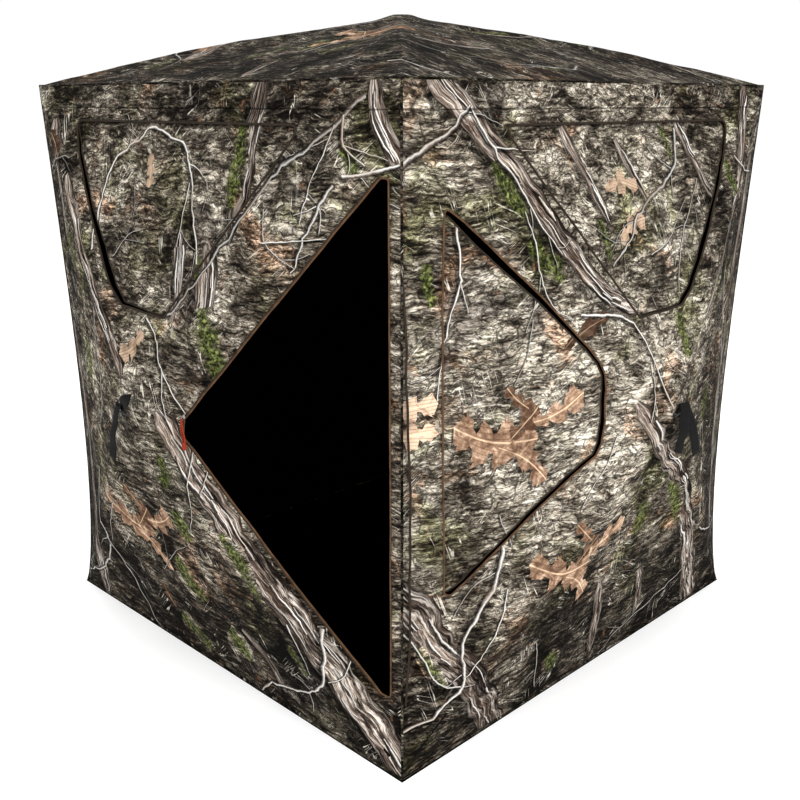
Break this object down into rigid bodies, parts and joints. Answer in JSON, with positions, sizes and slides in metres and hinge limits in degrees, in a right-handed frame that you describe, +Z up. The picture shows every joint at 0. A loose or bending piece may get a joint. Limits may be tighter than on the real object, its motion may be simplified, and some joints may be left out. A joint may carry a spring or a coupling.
{
  "type": "pop up ground blind",
  "caption": "Square pop-up hunting shelter with camouflage fabric walls and roof, each held out by a spring hub; triangular zip door and shooting windows.",
  "frame": {"origin": "on the ground, under the centre of the square footprint", "axes": "+Z up; the door wall faces -Y, and the wall with the side window faces +X"},
  "size_m": [2.0384, 2.0384, 1.7835],
  "materials": {
    "camo_shell": "brushed woven polyester with a woodland print, dark coating inside",
    "camo_cover": "brushed woven polyester with a woodland print",
    "door_fabric": "brushed woven polyester, dark coating inside",
    "hub_plastic": "moulded glass-filled nylon, lightly grained",
    "fibreglass_pole": "satin pultruded fibreglass",
    "boot_rubber": "matte moulded rubber",
    "black_webbing": "flat woven webbing",
    "edge_binding": "bound woven cord",
    "zip_tape": "ribbed coil zip tape",
    "zip_pull": "red cord and coated metal slider"
  },
  "bodies": {
    "root": {"corner_boots": "boot_rubber", "edge_cords": "edge_binding", "stake_tabs": "black_webbing"},
    "front_hub": {"front_hub": "hub_plastic"},
    "front_pole_upper_right": {"front_pole_upper_right": "fibreglass_pole"},
    "front_pole_upper_left": {"front_pole_upper_left": "fibreglass_pole"},
    "front_pole_lower_left": {"front_pole_lower_left": "fibreglass_pole"},
    "front_pole_lower_right": {"front_pole_lower_right": "fibreglass_pole"},
    "front_gore_bottom": {"front_gore_bottom": "camo_shell"},
    "front_gore_right": {"front_gore_right": "camo_shell", "door_zip_tape": "zip_tape"},
    "front_gore_top": {"front_gore_top": "camo_shell"},
    "front_gore_left": {"front_gore_left": "camo_shell"},
    "right_hub": {"right_hub": "hub_plastic"},
    "right_pole_upper_right": {"right_pole_upper_right": "fibreglass_pole"},
    "right_pole_upper_left": {"right_pole_upper_left": "fibreglass_pole"},
    "right_pole_lower_left": {"right_pole_lower_left": "fibreglass_pole"},
    "right_pole_lower_right": {"right_pole_lower_right": "fibreglass_pole"},
    "right_gore_bottom": {"right_gore_bottom": "camo_shell"},
    "right_gore_right": {"right_gore_right": "camo_shell"},
    "right_gore_top": {"right_gore_top": "camo_shell"},
    "right_gore_left": {"right_gore_left": "camo_shell"},
    "back_hub": {"back_hub": "hub_plastic"},
    "back_pole_upper_right": {"back_pole_upper_right": "fibreglass_pole"},
    "back_pole_upper_left": {"back_pole_upper_left": "fibreglass_pole"},
    "back_pole_lower_left": {"back_pole_lower_left": "fibreglass_pole"},
    "back_pole_lower_right": {"back_pole_lower_right": "fibreglass_pole"},
    "back_gore_bottom": {"back_gore_bottom": "camo_shell"},
    "back_gore_right": {"back_gore_right": "camo_shell"},
    "back_gore_top": {"back_gore_top": "camo_shell"},
    "back_gore_left": {"back_gore_left": "camo_shell"},
    "left_hub": {"left_hub": "hub_plastic"},
    "left_pole_upper_right": {"left_pole_upper_right": "fibreglass_pole"},
    "left_pole_upper_left": {"left_pole_upper_left": "fibreglass_pole"},
    "left_pole_lower_left": {"left_pole_lower_left": "fibreglass_pole"},
    "left_pole_lower_right": {"left_pole_lower_right": "fibreglass_pole"},
    "left_gore_bottom": {"left_gore_bottom": "camo_shell"},
    "left_gore_right": {"left_gore_right": "camo_shell"},
    "left_gore_top": {"left_gore_top": "camo_shell"},
    "left_gore_left": {"left_gore_left": "camo_shell"},
    "roof_hub": {"roof_hub": "hub_plastic"},
    "roof_pole_back_right": {"roof_pole_back_right": "fibreglass_pole"},
    "roof_pole_back_left": {"roof_pole_back_left": "fibreglass_pole"},
    "roof_pole_front_left": {"roof_pole_front_left": "fibreglass_pole"},
    "roof_pole_front_right": {"roof_pole_front_right": "fibreglass_pole"},
    "roof_gore_front": {"roof_gore_front": "camo_shell"},
    "roof_gore_right": {"roof_gore_right": "camo_shell"},
    "roof_gore_back": {"roof_gore_back": "camo_shell"},
    "roof_gore_left": {"roof_gore_left": "camo_shell"},
    "front_window_cover": {"front_window_cover": "camo_cover"},
    "right_window_cover": {"right_window_cover": "camo_cover"},
    "back_window_cover": {"back_window_cover": "camo_cover"},
    "left_window_cover": {"left_window_cover": "camo_cover"},
    "side_window_cover": {"side_window_cover": "camo_cover"},
    "door_panel": {"door_panel": "door_fabric"},
    "zip_slider": {"zip_slider": "zip_pull"},
    "front_pull_strap": {"front_pull_strap": "black_webbing"},
    "right_pull_strap": {"right_pull_strap": "black_webbing"},
    "back_pull_strap": {"back_pull_strap": "black_webbing"},
    "left_pull_strap": {"left_pull_strap": "black_webbing"}
  },
  "joints": [
    {"name": "front_hub_pop", "type": "slide", "parent": "root", "child": "front_hub", "axis": [0, -1, 0], "range_m": [-0.44, 0]},
    {"name": "front_pole_upper_right_fold", "type": "hinge", "parent": "front_hub", "child": "front_pole_upper_right", "pos_m": [0.02065, -0.95, 0.82176], "axis": [-0.7252, 0, 0.6885], "range_deg": [-23.47, 0]},
    {"name": "front_pole_upper_left_fold", "type": "hinge", "parent": "front_hub", "child": "front_pole_upper_left", "pos_m": [-0.02065, -0.95, 0.82176], "axis": [-0.7252, 0, -0.6885], "range_deg": [-23.47, 0]},
    {"name": "front_pole_lower_left_fold", "type": "hinge", "parent": "front_hub", "child": "front_pole_lower_left", "pos_m": [-0.02056, -0.95, 0.77815], "axis": [0.7283, 0, -0.6853], "range_deg": [-23.37, 0]},
    {"name": "front_pole_lower_right_fold", "type": "hinge", "parent": "front_hub", "child": "front_pole_lower_right", "pos_m": [0.02056, -0.95, 0.77815], "axis": [0.7283, 0, 0.6853], "range_deg": [-23.37, 0]},
    {"name": "front_gore_bottom_tilt", "type": "hinge", "parent": "root", "child": "front_gore_bottom", "pos_m": [0, -0.75, 0.003], "axis": [1, 0, 0], "range_deg": [-30.87, 0]},
    {"name": "front_gore_right_tilt", "type": "hinge", "parent": "root", "child": "front_gore_right", "pos_m": [0.75, -0.75, 0.8], "axis": [0, 0, 1], "range_deg": [-32.71, 0]},
    {"name": "front_gore_top_tilt", "type": "hinge", "parent": "root", "child": "front_gore_top", "pos_m": [0, -0.75, 1.59], "axis": [-1, 0, 0], "range_deg": [-31.13, 0]},
    {"name": "front_gore_left_tilt", "type": "hinge", "parent": "root", "child": "front_gore_left", "pos_m": [-0.75, -0.75, 0.8], "axis": [0, 0, -1], "range_deg": [-32.71, 0]},
    {"name": "right_hub_pop", "type": "slide", "parent": "root", "child": "right_hub", "axis": [1, 0, 0], "range_m": [-0.44, 0]},
    {"name": "right_pole_upper_right_fold", "type": "hinge", "parent": "right_hub", "child": "right_pole_upper_right", "pos_m": [0.95, 0.02065, 0.82176], "axis": [0, -0.7252, 0.6885], "range_deg": [-23.47, 0]},
    {"name": "right_pole_upper_left_fold", "type": "hinge", "parent": "right_hub", "child": "right_pole_upper_left", "pos_m": [0.95, -0.02065, 0.82176], "axis": [0, -0.7252, -0.6885], "range_deg": [-23.47, 0]},
    {"name": "right_pole_lower_left_fold", "type": "hinge", "parent": "right_hub", "child": "right_pole_lower_left", "pos_m": [0.95, -0.02056, 0.77815], "axis": [0, 0.7283, -0.6853], "range_deg": [-23.37, 0]},
    {"name": "right_pole_lower_right_fold", "type": "hinge", "parent": "right_hub", "child": "right_pole_lower_right", "pos_m": [0.95, 0.02056, 0.77815], "axis": [0, 0.7283, 0.6853], "range_deg": [-23.37, 0]},
    {"name": "right_gore_bottom_tilt", "type": "hinge", "parent": "root", "child": "right_gore_bottom", "pos_m": [0.75, 0, 0.003], "axis": [0, 1, 0], "range_deg": [-30.87, 0]},
    {"name": "right_gore_right_tilt", "type": "hinge", "parent": "root", "child": "right_gore_right", "pos_m": [0.75, 0.75, 0.8], "axis": [0, 0, 1], "range_deg": [-32.71, 0]},
    {"name": "right_gore_top_tilt", "type": "hinge", "parent": "root", "child": "right_gore_top", "pos_m": [0.75, 0, 1.59], "axis": [0, -1, 0], "range_deg": [-31.13, 0]},
    {"name": "right_gore_left_tilt", "type": "hinge", "parent": "root", "child": "right_gore_left", "pos_m": [0.75, -0.75, 0.8], "axis": [0, 0, -1], "range_deg": [-32.71, 0]},
    {"name": "back_hub_pop", "type": "slide", "parent": "root", "child": "back_hub", "axis": [0, 1, 0], "range_m": [-0.44, 0]},
    {"name": "back_pole_upper_right_fold", "type": "hinge", "parent": "back_hub", "child": "back_pole_upper_right", "pos_m": [-0.02065, 0.95, 0.82176], "axis": [0.7252, 0, 0.6885], "range_deg": [-23.47, 0]},
    {"name": "back_pole_upper_left_fold", "type": "hinge", "parent": "back_hub", "child": "back_pole_upper_left", "pos_m": [0.02065, 0.95, 0.82176], "axis": [0.7252, 0, -0.6885], "range_deg": [-23.47, 0]},
    {"name": "back_pole_lower_left_fold", "type": "hinge", "parent": "back_hub", "child": "back_pole_lower_left", "pos_m": [0.02056, 0.95, 0.77815], "axis": [-0.7283, 0, -0.6853], "range_deg": [-23.37, 0]},
    {"name": "back_pole_lower_right_fold", "type": "hinge", "parent": "back_hub", "child": "back_pole_lower_right", "pos_m": [-0.02056, 0.95, 0.77815], "axis": [-0.7283, 0, 0.6853], "range_deg": [-23.37, 0]},
    {"name": "back_gore_bottom_tilt", "type": "hinge", "parent": "root", "child": "back_gore_bottom", "pos_m": [0, 0.75, 0.003], "axis": [-1, 0, 0], "range_deg": [-30.87, 0]},
    {"name": "back_gore_right_tilt", "type": "hinge", "parent": "root", "child": "back_gore_right", "pos_m": [-0.75, 0.75, 0.8], "axis": [0, 0, 1], "range_deg": [-32.71, 0]},
    {"name": "back_gore_top_tilt", "type": "hinge", "parent": "root", "child": "back_gore_top", "pos_m": [0, 0.75, 1.59], "axis": [1, 0, 0], "range_deg": [-31.13, 0]},
    {"name": "back_gore_left_tilt", "type": "hinge", "parent": "root", "child": "back_gore_left", "pos_m": [0.75, 0.75, 0.8], "axis": [0, 0, -1], "range_deg": [-32.71, 0]},
    {"name": "left_hub_pop", "type": "slide", "parent": "root", "child": "left_hub", "axis": [-1, 0, 0], "range_m": [-0.44, 0]},
    {"name": "left_pole_upper_right_fold", "type": "hinge", "parent": "left_hub", "child": "left_pole_upper_right", "pos_m": [-0.95, -0.02065, 0.82176], "axis": [0, 0.7252, 0.6885], "range_deg": [-23.47, 0]},
    {"name": "left_pole_upper_left_fold", "type": "hinge", "parent": "left_hub", "child": "left_pole_upper_left", "pos_m": [-0.95, 0.02065, 0.82176], "axis": [0, 0.7252, -0.6885], "range_deg": [-23.47, 0]},
    {"name": "left_pole_lower_left_fold", "type": "hinge", "parent": "left_hub", "child": "left_pole_lower_left", "pos_m": [-0.95, 0.02056, 0.77815], "axis": [0, -0.7283, -0.6853], "range_deg": [-23.37, 0]},
    {"name": "left_pole_lower_right_fold", "type": "hinge", "parent": "left_hub", "child": "left_pole_lower_right", "pos_m": [-0.95, -0.02056, 0.77815], "axis": [0, -0.7283, 0.6853], "range_deg": [-23.37, 0]},
    {"name": "left_gore_bottom_tilt", "type": "hinge", "parent": "root", "child": "left_gore_bottom", "pos_m": [-0.75, 0, 0.003], "axis": [0, -1, 0], "range_deg": [-30.87, 0]},
    {"name": "left_gore_right_tilt", "type": "hinge", "parent": "root", "child": "left_gore_right", "pos_m": [-0.75, -0.75, 0.8], "axis": [0, 0, 1], "range_deg": [-32.71, 0]},
    {"name": "left_gore_top_tilt", "type": "hinge", "parent": "root", "child": "left_gore_top", "pos_m": [-0.75, 0, 1.59], "axis": [0, 1, 0], "range_deg": [-31.13, 0]},
    {"name": "left_gore_left_tilt", "type": "hinge", "parent": "root", "child": "left_gore_left", "pos_m": [-0.75, 0.75, 0.8], "axis": [0, 0, -1], "range_deg": [-32.71, 0]},
    {"name": "roof_hub_pop", "type": "slide", "parent": "root", "child": "roof_hub", "axis": [0, 0, 1], "range_m": [-0.38, 0]},
    {"name": "roof_pole_back_right_fold", "type": "hinge", "parent": "roof_hub", "child": "roof_pole_back_right", "pos_m": [0.02121, 0.02121, 1.76], "axis": [-0.7071, 0.7071, 0], "range_deg": [-20.9, 0]},
    {"name": "roof_pole_back_left_fold", "type": "hinge", "parent": "roof_hub", "child": "roof_pole_back_left", "pos_m": [-0.02121, 0.02121, 1.76], "axis": [-0.7071, -0.7071, 0], "range_deg": [-20.9, 0]},
    {"name": "roof_pole_front_left_fold", "type": "hinge", "parent": "roof_hub", "child": "roof_pole_front_left", "pos_m": [-0.02121, -0.02121, 1.76], "axis": [0.7071, -0.7071, 0], "range_deg": [-20.9, 0]},
    {"name": "roof_pole_front_right_fold", "type": "hinge", "parent": "roof_hub", "child": "roof_pole_front_right", "pos_m": [0.02121, -0.02121, 1.76], "axis": [0.7071, 0.7071, 0], "range_deg": [-20.9, 0]},
    {"name": "roof_gore_front_tilt", "type": "hinge", "parent": "root", "child": "roof_gore_front", "pos_m": [0, -0.75, 1.59], "axis": [1, 0, 0], "range_deg": [-28.44, 0]},
    {"name": "roof_gore_right_tilt", "type": "hinge", "parent": "root", "child": "roof_gore_right", "pos_m": [0.75, 0, 1.59], "axis": [0, 1, 0], "range_deg": [-28.44, 0]},
    {"name": "roof_gore_back_tilt", "type": "hinge", "parent": "root", "child": "roof_gore_back", "pos_m": [0, 0.75, 1.59], "axis": [-1, 0, 0], "range_deg": [-28.44, 0]},
    {"name": "roof_gore_left_tilt", "type": "hinge", "parent": "root", "child": "roof_gore_left", "pos_m": [-0.75, 0, 1.59], "axis": [0, -1, 0], "range_deg": [-28.44, 0]},
    {"name": "front_window_swing", "type": "hinge", "parent": "front_gore_top", "child": "front_window_cover", "pos_m": [0, -0.89805, 1.03227], "axis": [-1, 0, 0], "range_deg": [0, 35]},
    {"name": "right_window_swing", "type": "hinge", "parent": "right_gore_top", "child": "right_window_cover", "pos_m": [0.89805, 0, 1.03227], "axis": [0, -1, 0], "range_deg": [0, 35]},
    {"name": "back_window_swing", "type": "hinge", "parent": "back_gore_top", "child": "back_window_cover", "pos_m": [0, 0.89805, 1.03227], "axis": [1, 0, 0], "range_deg": [0, 120]},
    {"name": "left_window_swing", "type": "hinge", "parent": "left_gore_top", "child": "left_window_cover", "pos_m": [-0.89805, 0, 1.03227], "axis": [0, 1, 0], "range_deg": [0, 120]},
    {"name": "side_window_swing", "type": "hinge", "parent": "right_gore_left", "child": "side_window_cover", "pos_m": [0.76721, -0.66647, 0.888], "axis": [0, 0, -1], "range_deg": [-50, 0]},
    {"name": "door_swing", "type": "hinge", "parent": "front_gore_right", "child": "door_panel", "pos_m": [0.72692, -0.74948, 0.8], "axis": [0, 0, -1], "range_deg": [-65, 0]},
    {"name": "zip_slide", "type": "slide", "parent": "front_gore_right", "child": "zip_slider", "axis": [0.661, 0.1939, 0.7249], "range_m": [0, 0.74]},
    {"name": "front_strap_lift", "type": "hinge", "parent": "front_hub", "child": "front_pull_strap", "pos_m": [0, -0.984, 0.8], "axis": [-1, 0, 0], "range_deg": [0, 70]},
    {"name": "right_strap_lift", "type": "hinge", "parent": "right_hub", "child": "right_pull_strap", "pos_m": [0.984, 0, 0.8], "axis": [0, -1, 0], "range_deg": [0, 70]},
    {"name": "back_strap_lift", "type": "hinge", "parent": "back_hub", "child": "back_pull_strap", "pos_m": [0, 0.984, 0.8], "axis": [1, 0, 0], "range_deg": [0, 70]},
    {"name": "left_strap_lift", "type": "hinge", "parent": "left_hub", "child": "left_pull_strap", "pos_m": [-0.984, 0, 0.8], "axis": [0, 1, 0], "range_deg": [0, 70]}
  ],
  "couplings": [
    {"joint": "front_pole_upper_right_fold", "follows": "front_hub_pop", "rad_per_m": 0.93075},
    {"joint": "front_pole_upper_left_fold", "follows": "front_hub_pop", "rad_per_m": 0.93075},
    {"joint": "front_pole_lower_left_fold", "follows": "front_hub_pop", "rad_per_m": 0.92642},
    {"joint": "front_pole_lower_right_fold", "follows": "front_hub_pop", "rad_per_m": 0.92642},
    {"joint": "front_gore_bottom_tilt", "follows": "front_hub_pop", "rad_per_m": 1.2242},
    {"joint": "front_gore_right_tilt", "follows": "front_hub_pop", "rad_per_m": 1.297},
    {"joint": "front_gore_top_tilt", "follows": "front_hub_pop", "rad_per_m": 1.2345},
    {"joint": "front_gore_left_tilt", "follows": "front_hub_pop", "rad_per_m": 1.297},
    {"joint": "right_pole_upper_right_fold", "follows": "right_hub_pop", "rad_per_m": 0.93075},
    {"joint": "right_pole_upper_left_fold", "follows": "right_hub_pop", "rad_per_m": 0.93075},
    {"joint": "right_pole_lower_left_fold", "follows": "right_hub_pop", "rad_per_m": 0.92642},
    {"joint": "right_pole_lower_right_fold", "follows": "right_hub_pop", "rad_per_m": 0.92642},
    {"joint": "right_gore_bottom_tilt", "follows": "right_hub_pop", "rad_per_m": 1.2242},
    {"joint": "right_gore_right_tilt", "follows": "right_hub_pop", "rad_per_m": 1.297},
    {"joint": "right_gore_top_tilt", "follows": "right_hub_pop", "rad_per_m": 1.2345},
    {"joint": "right_gore_left_tilt", "follows": "right_hub_pop", "rad_per_m": 1.297},
    {"joint": "back_pole_upper_right_fold", "follows": "back_hub_pop", "rad_per_m": 0.93075},
    {"joint": "back_pole_upper_left_fold", "follows": "back_hub_pop", "rad_per_m": 0.93075},
    {"joint": "back_pole_lower_left_fold", "follows": "back_hub_pop", "rad_per_m": 0.92642},
    {"joint": "back_pole_lower_right_fold", "follows": "back_hub_pop", "rad_per_m": 0.92642},
    {"joint": "back_gore_bottom_tilt", "follows": "back_hub_pop", "rad_per_m": 1.2242},
    {"joint": "back_gore_right_tilt", "follows": "back_hub_pop", "rad_per_m": 1.297},
    {"joint": "back_gore_top_tilt", "follows": "back_hub_pop", "rad_per_m": 1.2345},
    {"joint": "back_gore_left_tilt", "follows": "back_hub_pop", "rad_per_m": 1.297},
    {"joint": "left_pole_upper_right_fold", "follows": "left_hub_pop", "rad_per_m": 0.93075},
    {"joint": "left_pole_upper_left_fold", "follows": "left_hub_pop", "rad_per_m": 0.93075},
    {"joint": "left_pole_lower_left_fold", "follows": "left_hub_pop", "rad_per_m": 0.92642},
    {"joint": "left_pole_lower_right_fold", "follows": "left_hub_pop", "rad_per_m": 0.92642},
    {"joint": "left_gore_bottom_tilt", "follows": "left_hub_pop", "rad_per_m": 1.2242},
    {"joint": "left_gore_right_tilt", "follows": "left_hub_pop", "rad_per_m": 1.297},
    {"joint": "left_gore_top_tilt", "follows": "left_hub_pop", "rad_per_m": 1.2345},
    {"joint": "left_gore_left_tilt", "follows": "left_hub_pop", "rad_per_m": 1.297},
    {"joint": "roof_pole_back_right_fold", "follows": "roof_hub_pop", "rad_per_m": 0.95945},
    {"joint": "roof_pole_back_left_fold", "follows": "roof_hub_pop", "rad_per_m": 0.95945},
    {"joint": "roof_pole_front_left_fold", "follows": "roof_hub_pop", "rad_per_m": 0.95945},
    {"joint": "roof_pole_front_right_fold", "follows": "roof_hub_pop", "rad_per_m": 0.95945},
    {"joint": "roof_gore_front_tilt", "follows": "roof_hub_pop", "rad_per_m": 1.3059},
    {"joint": "roof_gore_right_tilt", "follows": "roof_hub_pop", "rad_per_m": 1.3059},
    {"joint": "roof_gore_back_tilt", "follows": "roof_hub_pop", "rad_per_m": 1.3059},
    {"joint": "roof_gore_left_tilt", "follows": "roof_hub_pop", "rad_per_m": 1.3059}
  ]
}
